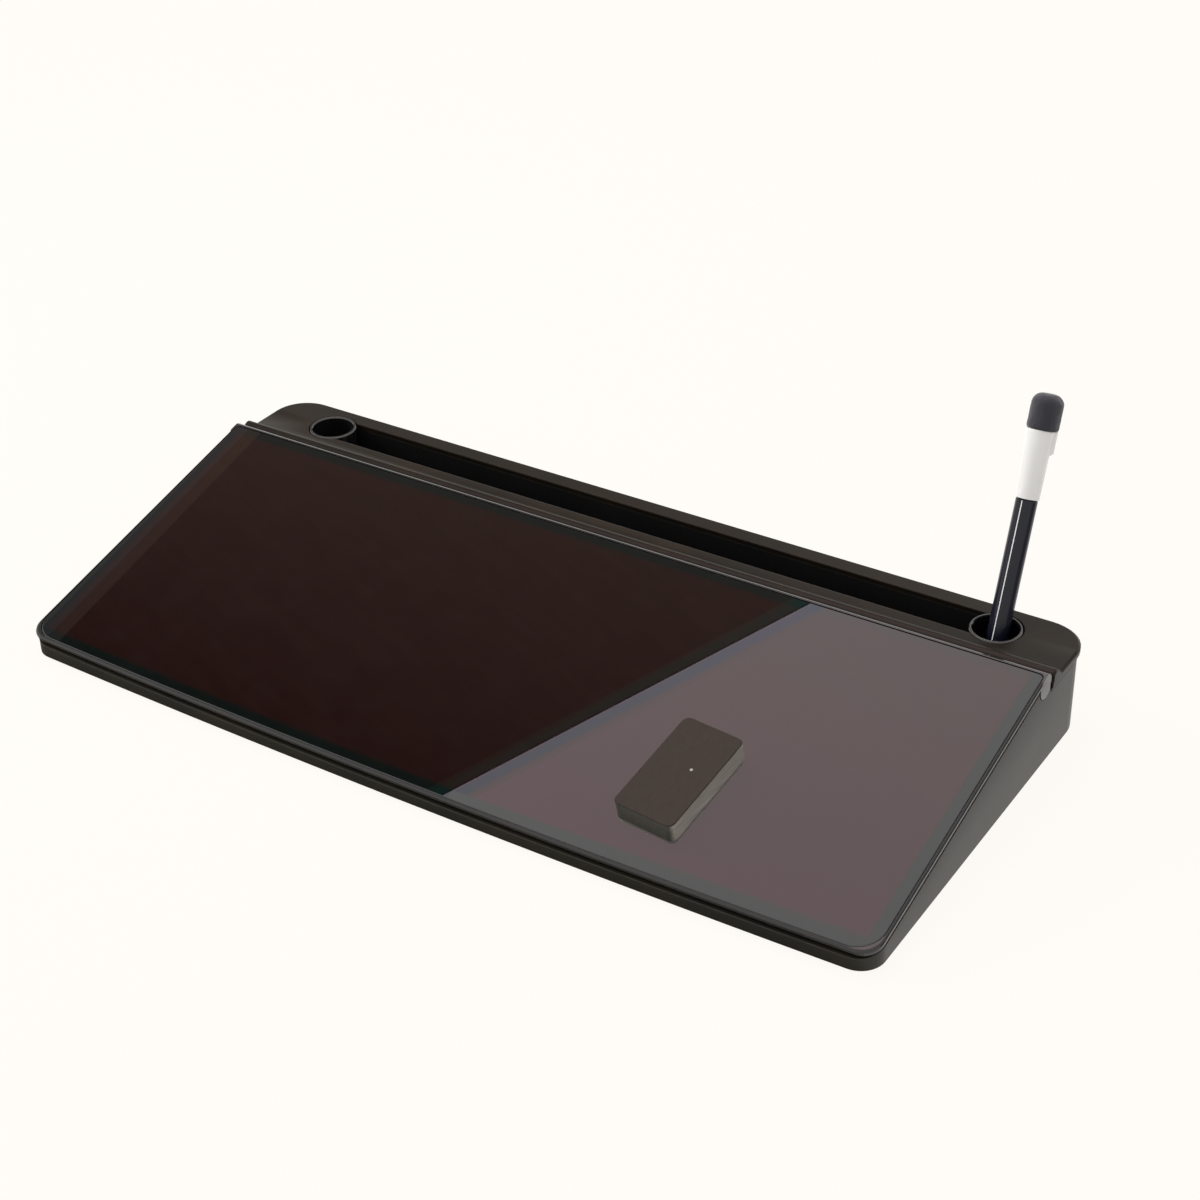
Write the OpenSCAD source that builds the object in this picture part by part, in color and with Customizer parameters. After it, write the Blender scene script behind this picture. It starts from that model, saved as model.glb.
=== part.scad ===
// Sloped desk board: a glass writing lid, hinged over a storage tray, with a rear deck
// that carries a pen channel between two round cups, a leaning marker and an eraser.
// Case coordinates: X to the right, Y back from the chord of the front edge, Z up.

/* [Case] */
// Overall width of the case
case_w = 400; // [360:5:460]
// Depth of the case from the front chord to the rear wall
case_d = 185.5; // [180:0.5:190]
// Height of the rear deck above the underside of the case
deck_h = 38.3; // [37:0.1:40]
// Thickness of the side walls
wall = 2.4; // [2:0.1:3]
// Thickness of the floor
floor_t = 2.2; // [1.8:0.1:2.6]
// How far the front edge bows outward at its middle
front_bow = 3.2; // [0:0.2:4]
// Plan radius of the front corners
front_r = 10.2; // [8:0.2:12]
// Plan radius of the rear corners
rear_r = 15.9; // [14:0.1:18]
// How far the rubber feet stand below the case
foot_drop = 1; // [0.5:0.1:1.5]

/* [Writing lid] */
// Slope of the writing surface
board_angle = 13.65; // [13:0.05:14]
// Height of the writing surface at the front chord
board_front_h = 9.65; // [9:0.05:10]
// Length of the glass along the slope
glass_l = 145.1; // [144:0.1:146]
// Thickness of the glass
glass_t = 2.5; // [2:0.1:2.6]
// Thickness of the lid's edge, glass included
lid_edge_t = 3.5; // [3.3:0.05:3.6]
// Gap between the lid's edge and the case wall
lid_gap = 0.45; // [0.3:0.05:0.6]
// Radius of the round rear barrel of the lid
barrel_r = 5.2; // [5:0.05:5.3]
// Radius of the steel hinge rods
rod_r = 0.9; // [0.7:0.05:0.95]
// Distance of each hinge lug from the middle
lug_x = 114; // [90:1:140]

/* [Rear deck] */
// Distance of each cup from the middle
cup_x = 166.5; // [150:0.5:168]
// Distance of the cups and the channel from the front chord
cup_y = 169.7; // [169:0.1:171]
// Inner radius of a cup
cup_r = 9.4; // [9.2:0.1:9.8]
// Wall of a cup
cup_wall = 1.4; // [1:0.1:1.5]
// Height of the cup's floor above the underside of the case
cup_floor_h = 13; // [12.8:0.1:13.4]
// Width of the pen channel
channel_w = 16.6; // [15:0.1:17]

/* [Marker] */
// Radius of the marker's barrel
marker_r = 4.4; // [4.2:0.05:4.5]
// Length of the marker with its eraser tip
marker_l = 118.2; // [112:0.2:124]
// How far the marker leans from upright
marker_tilt = 23; // [22.5:0.1:23.5]
// Direction in which it leans, from +X towards +Y
marker_lean_dir = 93; // [60:1:120]

/* [Eraser] */
// Width of the eraser block
eraser_w = 27; // [20:0.2:32]
// Length of the eraser block
eraser_l = 48.6; // [40:0.2:56]
// Height of the eraser block with its felt
eraser_h = 11; // [10:0.1:16]
// Place of the eraser across the board
eraser_x = 101.1; // [-150:0.1:150]
// Place of the eraser up the slope
eraser_s = 38.5; // [30:0.1:110]
// Turn of the eraser on the board
eraser_turn = -4.8; // [-20:0.1:20]

/* [Hidden] */

$fn = 64;
eps = 0.01;
slide_gap = 0.05;          // running clearance of pins and sliding fits
half_w = case_w / 2;
deck_t = 2.2;              // deck plate
deck_overhang = 0.8;       // deck edge beyond the case wall
deck_front = 146.65;       // front face of the deck's raised lip
skirt_h = 5;               // rim of the deck down over the case wall
skirt_t = 1.9;
skirt_fall = 2;            // the lower part of the rim slants in to the wall
lip_h = 3.9;               // height of the raised lip above the deck
lip_back = 155.5;          // where the lip has run out into the deck
lip_end = 0.9;             // bevel at the ends of the lip
edge_r = 0.9;              // soft upper edge of the deck
bottom_r = 0.3;            // small edge of the case bottom
seat_gap = 0.3;            // the lid's barrel clears the side walls by this
floor_top = floor_t;
deck_under = deck_h - deck_t;

// The marker's lean sets the middle of the whole object along Y
rim_reach = cup_r - marker_r / cos(marker_tilt) - 0.15;
marker_below = (deck_h - cup_floor_h - marker_r * sin(marker_tilt) - 0.05) / cos(marker_tilt);
marker_above = marker_l - marker_below;
cap_tip_r = 6.45;          // radius of the felt tip and the cap's top
marker_back = cup_y + rim_reach * sin(marker_lean_dir)
    + (marker_above - cap_tip_r) * sin(marker_tilt) * sin(marker_lean_dir) + cap_tip_r;
origin_y = (marker_back - front_bow) / 2;

// Layers of the lid, counted down from the writing surface
film_t = 0.15;
steel_t = 0.5;
tape_t = 0.6;
film_n = -glass_t;
ledge_n = film_n - film_t;
steel_n = ledge_n;
tape_n = steel_n - steel_t;
pocket_n = tape_n - tape_t;
plate_t = 1.5;
plate_n = pocket_n - plate_t;
ledge_w = 6;               // ledge that carries the rim of the glass
lid_inset = 4.2;           // inner lid stays this far inside the case outline
lid_reach = half_w + 0.2;  // half the lid's width
rim_w = 1.2;               // rim of the lid around the glass, with its seam
lid_l = 146;               // length of the lid's edge up the slope

// Hinge: the lugs end just under the glass, and the barrel stops short of the raised lip
lug_w = 8;
lug_r = 1.9;
hinge_n = ledge_n - 0.2 - lug_r;
hinge_y = deck_front - 0.45 - barrel_r;
hinge_s = (hinge_y + hinge_n * sin(board_angle)) / cos(board_angle);
hinge_z = board_front_h + hinge_s * sin(board_angle) + hinge_n * cos(board_angle);
hinge_swing = 110;
shank_a = [-132, -76];     // the lug's shank lies between these two angles, from +Y
rod_l = half_w - lug_x + lug_w + 4;

gap_n = -lid_edge_t - lid_gap;

screw_spots = [
    for (side = [-1, 1]) each [[side * 187, 156], [side * 187, 177.3], [side * 62, 155.3]]
];
screw_r = 1.5;
head_r = 2.8;
head_seat_h = 8.5;         // the screw heads pull up against this shoulder
post_h = 11.5;              // just above the ribs, so that the deck's bosses stand on the posts
foot_spots = [for (x = [-176, 0, 176], y = [13, 171]) [x, y]];
foot_r = 5.5;
foot_recess = 0.7;
catch_spots = [-120, 120];
catch_s = 10;
rib_spots = [-cup_x, -120, -60, 0, 60, 120, cup_x];

function bow_y(x, reach, bow) = -bow * (1 - pow(x / reach, 2));
function arc_pts(c, r, a0, a1, n = 10) =
    [for (i = [0:n]) let (a = a0 + (a1 - a0) * i / n) [c[0] + r * cos(a), c[1] + r * sin(a)]];
// Outline with a bowed front edge and four rounded corners, counter-clockwise
function plan_pts(reach, y0, y1, rf, rr, bow, n = 24) =
    let (cx = reach - rf, cy = y0 + rf + bow_y(cx, reach, bow)) concat(
        arc_pts([-cx, cy], rf, 180, 270),
        [for (i = [1:n - 1]) let (x = cx * (2 * i / n - 1)) [x, y0 + bow_y(x, reach, bow)]],
        arc_pts([cx, cy], rf, 270, 360),
        arc_pts([reach - rr, y1 - rr], rr, 0, 90),
        arc_pts([rr - reach, y1 - rr], rr, 90, 180));
// Height of a plane parallel to the board at normal offset n
function board_z(y, n) = board_front_h + y * tan(board_angle) + n / cos(board_angle);

module in_case() {
    translate([0, -origin_y, foot_drop]) children();
}

// X across, Y up the slope, Z out of the writing surface
module on_board() {
    in_case() translate([0, 0, board_front_h]) rotate([board_angle, 0, 0]) children();
}

function drawn_in(a, reach, half_d) = [1 - a / reach, 1 - a / half_d];

// A slab in layers between steps [height, inset]; each layer starts from its wider outline
module stepped_slab(pts, steps, reach, half_d, mid_y) {
    for (i = [1:len(steps) - 1]) {
        widens = steps[i - 1][1] > steps[i][1];
        from = steps[widens ? i : i - 1];
        to = steps[widens ? i - 1 : i];
        wide = drawn_in(from[1], reach, half_d);
        slim = drawn_in(to[1], reach, half_d);
        translate([0, mid_y, from[0]]) mirror([0, 0, widens ? 1 : 0])
            linear_extrude(abs(to[0] - from[0]), scale = [slim[0] / wide[0], slim[1] / wide[1]], slices = 1)
            scale(wide) translate([0, -mid_y]) polygon(pts);
    }
}

module along_x(x0, x1) {
    translate([x0, 0, 0]) rotate([90, 0, 90]) linear_extrude(x1 - x0) children();
}

module at_each(spots) {
    for (p = spots) translate([p[0], p[1], 0]) children();
}

// Case

module wall_profile() {
    skirt_z = deck_h - skirt_h - 0.2;
    polygon([
        [-20, -1], [-20, board_z(-20, gap_n)], [hinge_y, board_z(hinge_y, gap_n)],
        [hinge_y, hinge_z - 2.7], [deck_front - 0.2, hinge_z - 2.7], [deck_front - 0.2, skirt_z],
        [deck_front + 2.4, skirt_z], [deck_front + 2.4, deck_under],
        [case_d + 5, deck_under], [case_d + 5, -1]
    ]);
}

module base_shell() {
    inner = plan_pts(half_w - wall, wall, case_d - wall, front_r - wall, rear_r - wall, front_bow);
    difference() {
        intersection() {
            stepped_slab(plan_pts(half_w, 0, case_d, front_r, rear_r, front_bow),
                [[0, bottom_r], [bottom_r, 0], [deck_h + 6, 0]], half_w, case_d / 2, case_d / 2);
            along_x(-half_w - 5, half_w + 5) wall_profile();
        }
        translate([0, 0, floor_top]) linear_extrude(60) polygon(inner);
        // Step that takes the deck's skirt
        translate([0, 0, deck_h - skirt_h - 0.2]) linear_extrude(20) difference() {
            translate([-half_w - 5, deck_front - 0.2]) square([case_w + 10, 60]);
            polygon(plan_pts(half_w - 1.3, 0, case_d - 1.3, front_r, rear_r - 1.3, 0));
        }
        // Room for the round barrel of the lid
        translate([0, hinge_y, hinge_z]) rotate([0, 90, 0])
            cylinder(r = barrel_r + seat_gap, h = case_w + 10, center = true);
    }
}

module screw_post() {
    cylinder(r = 4.3, h = post_h);
}

module base_inside() {
    cross_y = deck_front + 2.6;
    translate([-half_w + wall - eps, cross_y, floor_top - eps])
        cube([case_w - 2 * wall + 2 * eps, 2, deck_under - 6 - floor_top]);
    rib_top = cup_floor_h - 1.6;
    for (x = rib_spots)
        translate([x - 1, cross_y + 1, floor_top - eps])
            cube([2, case_d - wall - cross_y - 0.5, rib_top - floor_top + eps]);
    for (side = [-1, 1]) translate([side * cup_x, cup_y, floor_top - eps]) difference() {
        cylinder(r = cup_r + cup_wall, h = rib_top - floor_top + eps);
        translate([0, 0, -1]) cylinder(r = cup_r - 0.6, h = 20);
    }
    at_each(screw_spots) screw_post();
    // Pads that lift the catch plates to the lid's magnets
    for (x = catch_spots) translate([x - 8, catch_y() - 6, floor_top - eps])
        cube([16, 12, catch_pad_h() - floor_top + eps]);
}

function catch_y() = catch_s * cos(board_angle) - (plate_n - 1.4) * sin(board_angle);
function catch_pad_h() = board_z(catch_y() - 6, plate_n - 1.6) - 1;

module base_tray() {
    color("#2b2a29") in_case() difference() {
        union() {
            base_shell();
            base_inside();
        }
        at_each(screw_spots) {
            translate([0, 0, -1]) cylinder(r = head_r + 0.3, h = head_seat_h + 1);
            cylinder(r = screw_r + 0.2, h = post_h + 1);
        }
        at_each(foot_spots) translate([0, 0, -1]) cylinder(r = foot_r + 0.2, h = foot_recess + 1);
        for (x = catch_spots) translate([x - 6.1, catch_y() - 4.1, catch_pad_h() - 0.8])
            cube([12.2, 8.2, 2]);
    }
}

// Profile of the raised lip: upright front, crowned top, long fall to the deck
module lip_profile() {
    crown = 149.2;
    nose = 1.7;
    polygon(concat(
        [[deck_front, deck_under]],
        [for (a = [0:15:90]) [crown - (crown - deck_front) * cos(a),
            deck_h + lip_h - nose * (1 - sin(a))]],
        [for (i = [0:10]) let (t = i / 10, y = crown + (lip_back - crown) * t)
            [y, deck_h + lip_h * (1 + cos(180 * t)) / 2]],
        [[lip_back, deck_under]]));
}

module deck_blank() {
    reach = half_w + deck_overhang;
    outline = plan_pts(reach, deck_front, case_d + deck_overhang, 0.3, rear_r, 0);
    mid = (deck_front + case_d) / 2;
    translate([0, 0, deck_h - skirt_h]) difference() {
        stepped_slab(outline, [[0, deck_overhang], [skirt_fall, 0], [skirt_h - edge_r, 0], [skirt_h, edge_r]],
            reach, case_d - mid, mid);
        translate([0, 0, -1]) linear_extrude(skirt_h - deck_t + 1)
            polygon(plan_pts(reach - skirt_t, deck_front + 2.2, case_d + deck_overhang - skirt_t,
                1, rear_r - skirt_t, 0));
    }
    intersection() {
        along_x(-reach + lip_end, reach - lip_end) lip_profile();
        translate([0, 0, deck_under]) linear_extrude(20) polygon(outline);
    }
    // The raised lip closes with a small bevel at each end
    for (side = [0, 1]) mirror([side, 0, 0])
        translate([reach - lip_end, lip_back - 4, deck_under]) rotate([90, 0, 90])
            linear_extrude(lip_end, scale = 0.84, slices = 1)
            translate([4 - lip_back, -deck_under]) lip_profile();
}

// A lug reaches forward under the lid's barrel and holds a hinge rod
module hinge_lug() {
    out_r = barrel_r + 0.5;
    low = [out_r * cos(shank_a[0]), out_r * sin(shank_a[0])];
    back = deck_front + 1 - hinge_y;
    rotate([0, 90, 0]) cylinder(r = lug_r, h = lug_w, center = true);
    rotate([90, 0, 90]) linear_extrude(lug_w, center = true)
        polygon([[0, 0], low, [low[0], low[1] - 2], [back, low[1] - 7], [back, -out_r],
            [out_r * cos(shank_a[1]) / -sin(shank_a[1]), -out_r]]);
}

module deck_cover() {
    apron_low = 14;
    pilot_h = 11;
    color("#35332f") in_case() difference() {
        union() {
            deck_blank();
            translate([-half_w + wall + 0.6, deck_front, apron_low])
                cube([case_w - 2 * wall - 1.2, 2.2, deck_h - apron_low]);
            for (side = [-1, 1]) translate([side * lug_x, hinge_y, hinge_z]) hinge_lug();
            at_each(screw_spots) translate([0, 0, post_h + 0.1])
                cylinder(r = 3.1, h = deck_under - post_h);
        }
        translate([-cup_x, cup_y - channel_w / 2, deck_h - 10]) cube([2 * cup_x, channel_w, 20]);
        for (side = [-1, 1]) {
            translate([side * cup_x, cup_y, deck_h - 10]) cylinder(r = cup_r + cup_wall + 0.5, h = 20);
            translate([side * lug_x, hinge_y, hinge_z]) rotate([0, 90, 0])
                cylinder(r = rod_r + slide_gap, h = lug_w + 2, center = true);
        }
        at_each(screw_spots) translate([0, 0, post_h]) cylinder(r = screw_r, h = pilot_h);
    }
}

module pen_channel() {
    t = 1.6;
    gap = cup_r + cup_wall + 0.3;
    outer_w = channel_w + 2 * t;
    color("#161513") in_case() difference() {
        union() {
            translate([-cup_x, cup_y - outer_w / 2, cup_floor_h - t])
                cube([2 * cup_x, outer_w, deck_under - cup_floor_h + t]);
            translate([-cup_x, cup_y - outer_w / 2 - 1.5, deck_under - 1.6])
                cube([2 * cup_x, outer_w + 3, 1.6]);
        }
        translate([-cup_x - 1, cup_y - channel_w / 2, cup_floor_h]) cube([2 * cup_x + 2, channel_w, 60]);
        for (side = [-1, 1]) translate([side * cup_x, cup_y, -1]) cylinder(r = gap, h = 60);
        // The flange clears the screw bosses of the deck
        at_each(screw_spots) translate([0, 0, 20]) cylinder(r = 3.4, h = 20);
    }
}

module pen_cup(side) {
    outer = cup_r + cup_wall;
    rise = 0.3;
    bottom = cup_floor_h - 1.6;
    top = deck_h + rise;
    color("#1c1b1a") in_case() translate([side * cup_x, cup_y, 0]) rotate_extrude($fn = 96)
        polygon([[0, bottom], [outer - 0.6, bottom], [outer, bottom + 0.6], [outer, top - 0.5],
            [outer - 0.4, top], [cup_r + 0.4, top], [cup_r, top - 0.5], [cup_r, cup_floor_h],
            [0, cup_floor_h]]);
}

module pen_cup_left() {
    pen_cup(-1);
}

module pen_cup_right() {
    pen_cup(1);
}

module rubber_feet() {
    color("#1a1a1a") in_case() at_each(foot_spots) translate([0, 0, -foot_drop])
        rotate_extrude() polygon([[0, 0], [foot_r - 0.6, 0], [foot_r, 0.6],
            [foot_r, foot_drop + foot_recess], [0, foot_drop + foot_recess]]);
}

module case_screws() {
    tip = post_h + 9;
    color("silver") in_case() at_each(screw_spots) difference() {
        union() {
            translate([0, 0, head_seat_h - 2]) cylinder(r = head_r, h = 2);
            translate([0, 0, head_seat_h - eps]) cylinder(r = screw_r, h = tip - head_seat_h);
            translate([0, 0, tip - eps]) cylinder(r1 = screw_r, r2 = 0.5, h = 1.4);
        }
        for (a = [0, 90]) rotate(a) translate([-1.7, -0.35, head_seat_h - 3]) cube([3.4, 0.7, 2]);
    }
}

module catch_plates() {
    color("silver") in_case() for (x = catch_spots)
        translate([x - 6, catch_y() - 4, catch_pad_h() - 0.8]) cube([12, 8, 0.8]);
}

// Writing lid

function glass_pts(inset = 0) =
    plan_pts(lid_reach - rim_w - inset, rim_w + inset, glass_l - inset,
        11 - inset, 2 - min(inset, 1.5), front_bow);

module lid_blank() {
    // Rounded edge around the glass, then the pan that holds steel sheet and tape
    stepped_slab(plan_pts(lid_reach, 0, lid_l, 8, 0.3, front_bow),
        [[-lid_edge_t, 0.9], [-3, 0.25], [-2.3, 0], [-1, 0], [-0.35, 0.25], [0, 0.8]],
        lid_reach, lid_l / 2, lid_l / 2);
    translate([0, 0, plate_n]) linear_extrude(-plate_n - lid_edge_t + eps)
        polygon(plan_pts(half_w - lid_inset, 5, hinge_s, 6, 2, front_bow));
    // Round rear barrel, cut flat in line with the glass
    difference() {
        translate([0, hinge_s, hinge_n]) rotate([0, 90, 0])
            cylinder(r = barrel_r, h = 2 * lid_reach, center = true, $fn = 96);
        translate([-half_w - 1, -1, 0]) cube([case_w + 2, glass_l + 10, 20]);
    }
    // Stiffening ribs behind the pan
    for (x = [-150, -75, 0, 75, 150]) translate([x - 1, 50, plate_n - 3])
        cube([2, hinge_s - 52, 3 + eps]);
    for (s = [50, 96]) translate([-half_w + 12, s, plate_n - 3]) cube([case_w - 24, 2, 3 + eps]);
    for (x = catch_spots) translate([x, catch_s, plate_n - 1.4]) cylinder(r = 5.4, h = 1.4 + eps);
}

// Everything of the barrel that would meet a lug over the lid's whole swing
module lug_room() {
    w = lug_w + 1;
    play = 4;
    closed = shank_a[0] - play - board_angle;
    open = shank_a[1] + hinge_swing + play - board_angle;
    translate([0, hinge_s, hinge_n]) {
        rotate([0, 90, 0]) cylinder(r = lug_r + 0.25, h = w, center = true);
        rotate([90, 0, 90]) linear_extrude(w, center = true)
            polygon(concat([[0, 0]], arc_pts([0, 0], barrel_r + 4, closed, open, 16)));
    }
}

module lid_frame() {
    pan = plan_pts(half_w - ledge_w, rim_w + ledge_w, glass_l - ledge_w, 5, 2, front_bow);
    seam = 0.35;
    color("#232221") on_board() difference() {
        lid_blank();
        translate([0, 0, ledge_n]) linear_extrude(20) polygon(glass_pts(-seam));
        translate([0, 0, pocket_n]) linear_extrude(20) polygon(pan);
        for (side = [-1, 1]) {
            translate([side * lug_x, 0, 0]) lug_room();
            translate([side * (half_w - 1 - rod_l / 2), hinge_s, hinge_n]) rotate([0, 90, 0])
                cylinder(r = rod_r, h = rod_l, center = true);
        }
        for (x = catch_spots) translate([x, catch_s, plate_n - 3]) cylinder(r = 4, h = 3);
        for (x = bumper_spots) translate([x, bumper_s, plate_n - 1]) cylinder(r = 3, h = 1.6);
    }
}
bumper_spots = [-185, 185];
bumper_s = 12;

module glass_board() {
    soft = 0.3;
    color("#2a1f1e") on_board() stepped_slab(glass_pts(), [[-glass_t, 0], [-soft, 0], [0, soft]],
        lid_reach - rim_w, glass_l / 2, glass_l / 2);
}

module black_backing() {
    color("#1b1413") on_board() translate([0, 0, ledge_n]) linear_extrude(film_t)
        polygon(glass_pts(0.6));
}

module steel_sheet() {
    color("#8b8f93") on_board() translate([0, 0, tape_n]) linear_extrude(steel_t)
        polygon(plan_pts(half_w - ledge_w - 0.5, rim_w + ledge_w + 0.5,
            glass_l - ledge_w - 0.5, 4.5, 1.5, front_bow));
}

module foam_tape() {
    color("#3c3c3c") on_board() for (s = [12, 70, 124])
        translate([-half_w + ledge_w + 10, s, pocket_n])
            cube([case_w - 2 * ledge_w - 20, 10, tape_t]);
}

module hinge_rod(side) {
    color("silver") on_board() translate([side * (half_w - 1 - rod_l / 2), hinge_s, hinge_n])
        rotate([0, 90, 0]) cylinder(r = rod_r, h = rod_l - 1, center = true);
}

module hinge_rod_left() {
    hinge_rod(-1);
}

module hinge_rod_right() {
    hinge_rod(1);
}

module lid_magnets() {
    color("silver") on_board() for (x = catch_spots)
        translate([x, catch_s, plate_n - 1.3]) cylinder(r = 4, h = 1.3);
}

module lid_bumpers() {
    color("#1a1a1a") on_board() for (x = bumper_spots)
        translate([x, bumper_s, plate_n - 0.5]) cylinder(r1 = 2.4, r2 = 3, h = 1.1);
}

// Eraser

module on_eraser() {
    on_board() translate([eraser_x, eraser_s, slide_gap]) rotate(eraser_turn) children();
}

felt_t = 2.5;

function eraser_pts(inset = 0) = let (w = eraser_w / 2 - inset, l = eraser_l / 2 - inset, r = 3 - inset)
    concat(arc_pts([w - r, l - r], r, 0, 90, 8), arc_pts([r - w, l - r], r, 90, 180, 8),
        arc_pts([r - w, r - l], r, 180, 270, 8), arc_pts([w - r, r - l], r, 270, 360, 8));

module eraser_body() {
    soft = 0.4;
    block_h = eraser_h - felt_t - slide_gap;
    k = [1 - 2 * soft / eraser_w, 1 - 2 * soft / eraser_l];
    color("#38352e") on_eraser() translate([0, 0, felt_t]) difference() {
        union() {
            linear_extrude(block_h - soft) polygon(eraser_pts());
            translate([0, 0, block_h - soft])
                linear_extrude(soft, scale = k, slices = 1) polygon(eraser_pts());
            // Small stub of the moulding gate on top
            translate([4, 2.6, block_h - 1]) cylinder(r = 0.6, h = 1.12);
        }
        for (s = [-14, 14]) translate([0, s, -1]) cylinder(r = 6, h = 3);
    }
}

module eraser_felt() {
    color("#4a463f") on_eraser() linear_extrude(felt_t) polygon(eraser_pts(0.4));
}

module eraser_magnets() {
    color("silver") on_eraser() for (s = [-14, 14])
        translate([0, s, felt_t]) cylinder(r = 5.9, h = 1.9);
}

// Marker

// Z runs up the marker from its lower end, X points the way it leans
module on_marker() {
    in_case() translate([
        cup_x + rim_reach * cos(marker_lean_dir), cup_y + rim_reach * sin(marker_lean_dir), deck_h
    ]) rotate([0, marker_tilt, marker_lean_dir]) translate([0, 0, -marker_below]) children();
}

cap_mouth = marker_l - 41.7;
cap_top = marker_l - 14.2;
neck_r = 3.45;
neck_top = cap_mouth + 9;
bore_r = 3.3;
plug_t = 1.6;
magnet_dir = -60;          // the cap's magnet pocket faces right and back
pocket_x = cap_tip_r - 1.95;
felt_stem_r = 2.5;

module marker_barrel() {
    color("#1d1e26") on_marker() rotate_extrude()
        polygon([[bore_r, plug_t], [marker_r, plug_t], [marker_r, cap_mouth - 0.6],
            [neck_r, cap_mouth - 0.2], [neck_r, neck_top], [2.7, neck_top],
            [2.7, cap_mouth - 3], [bore_r, cap_mouth - 4]]);
}

module marker_end_plug() {
    color("#1d1e26") on_marker() rotate_extrude()
        polygon([[0, 0], [marker_r - 0.8, 0], [marker_r, 0.8], [marker_r, plug_t],
            [bore_r, plug_t], [bore_r, plug_t + 4], [0, plug_t + 4]]);
}

module ink_reservoir() {
    color("whitesmoke") on_marker() translate([0, 0, plug_t + 4.2])
        cylinder(r = 3.1, h = cap_mouth - 10 - plug_t);
}

module marker_nose() {
    tip = neck_top + 9;
    color("whitesmoke") on_marker() rotate_extrude()
        polygon([[1, neck_top - 6], [2.7, neck_top - 6], [2.7, neck_top], [3.3, neck_top],
            [3.3, neck_top + 0.8], [1.9, neck_top + 3.5], [1.5, tip], [1, tip]]);
}

module marker_nib() {
    color("white") on_marker() rotate_extrude()
        polygon([[0, neck_top - 10], [1, neck_top - 10], [1, neck_top + 10.5],
            [0.75, neck_top + 11.6], [0.35, neck_top + 12.2], [0, neck_top + 12.3]]);
}

module marker_cap() {
    flat = 0.4;
    color("#e9e8e4") on_marker() difference() {
        union() {
            // The tube flares from its mouth to the felt, away from the magnet pocket
            rotate(magnet_dir) hull() {
                translate([0, 0, cap_mouth]) cylinder(r = 4.8, h = flat, $fn = 40);
                translate([-0.75, 0, cap_top - flat]) cylinder(r = 5.7, h = flat, $fn = 40);
            }
            rotate(magnet_dir) translate([cap_tip_r - 2.65, 0, cap_top - 9.6]) {
                translate([0, 0, 1]) cylinder(r = 2.65, h = 8.6);
                cylinder(r1 = 1.5, r2 = 2.65, h = 1 + eps);
            }
        }
        translate([0, 0, cap_mouth - 1]) cylinder(r = neck_r + slide_gap, h = 14);
        translate([0, 0, cap_mouth]) cylinder(r = 2.3, h = cap_top - cap_mouth - 4);
        translate([0, 0, cap_top - 2.2]) cylinder(r = felt_stem_r, h = 3);
        rotate(magnet_dir) translate([pocket_x, 0, cap_top - 8.2]) cylinder(r = 1.4, h = 9);
    }
}

module cap_magnet() {
    color("silver") on_marker() rotate(magnet_dir) translate([pocket_x, 0, cap_top - 8.2])
        cylinder(r = 1.4, h = 7.6);
}

module cap_felt() {
    r = cap_tip_r;
    body = marker_l - cap_top;
    dome_r = 4.2;
    color("#2c2d33") on_marker() rotate_extrude()
        polygon(concat([[0, cap_top - 2.2], [felt_stem_r, cap_top - 2.2], [felt_stem_r, cap_top],
            [r - 0.2, cap_top], [r, cap_top + 0.4]],
            [for (a = [0:10:90]) [r - dome_r + dome_r * cos(a), cap_top + body - dome_r + dome_r * sin(a)]],
            [[0, marker_l]]));
}

base_tray();
deck_cover();
pen_channel();
pen_cup_left();
pen_cup_right();
rubber_feet();
case_screws();
catch_plates();
lid_frame();
glass_board();
black_backing();
steel_sheet();
foam_tape();
hinge_rod_left();
hinge_rod_right();
lid_magnets();
lid_bumpers();
eraser_body();
eraser_felt();
eraser_magnets();
marker_barrel();
marker_end_plug();
ink_reservoir();
marker_nose();
marker_nib();
marker_cap();
cap_magnet();
cap_felt();
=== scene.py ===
import math

import bmesh
import bpy
from mathutils import Matrix, Vector, noise


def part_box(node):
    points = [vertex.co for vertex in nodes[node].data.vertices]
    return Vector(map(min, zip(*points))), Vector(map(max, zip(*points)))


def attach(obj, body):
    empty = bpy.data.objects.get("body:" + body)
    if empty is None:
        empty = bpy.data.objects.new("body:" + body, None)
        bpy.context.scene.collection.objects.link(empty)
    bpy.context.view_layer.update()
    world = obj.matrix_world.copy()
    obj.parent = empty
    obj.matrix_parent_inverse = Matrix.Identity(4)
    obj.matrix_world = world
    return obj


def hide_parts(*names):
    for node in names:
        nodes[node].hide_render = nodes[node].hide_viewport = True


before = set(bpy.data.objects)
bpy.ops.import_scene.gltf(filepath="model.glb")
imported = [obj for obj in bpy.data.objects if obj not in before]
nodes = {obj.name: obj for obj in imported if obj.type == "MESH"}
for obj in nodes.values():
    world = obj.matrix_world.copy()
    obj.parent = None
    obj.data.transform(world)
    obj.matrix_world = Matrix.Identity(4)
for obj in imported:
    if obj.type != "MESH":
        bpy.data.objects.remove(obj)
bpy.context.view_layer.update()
print("frame loaded with", len(nodes), "parts")

# The case stands with its front chord on this line, and its underside this far up on the feet
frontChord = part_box("base_tray")[0].y + 0.0032
footDrop = 0.001

# The camera, fitted to the photograph

cameraSetup = {
    "place": (0.454645, -0.549492, 0.538687),  # from the case's front chord
    "yaw": -33.473,
    "pitch": 32.436,
    "roll": 1.5366,
    "lens": 68.915,
}


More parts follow.
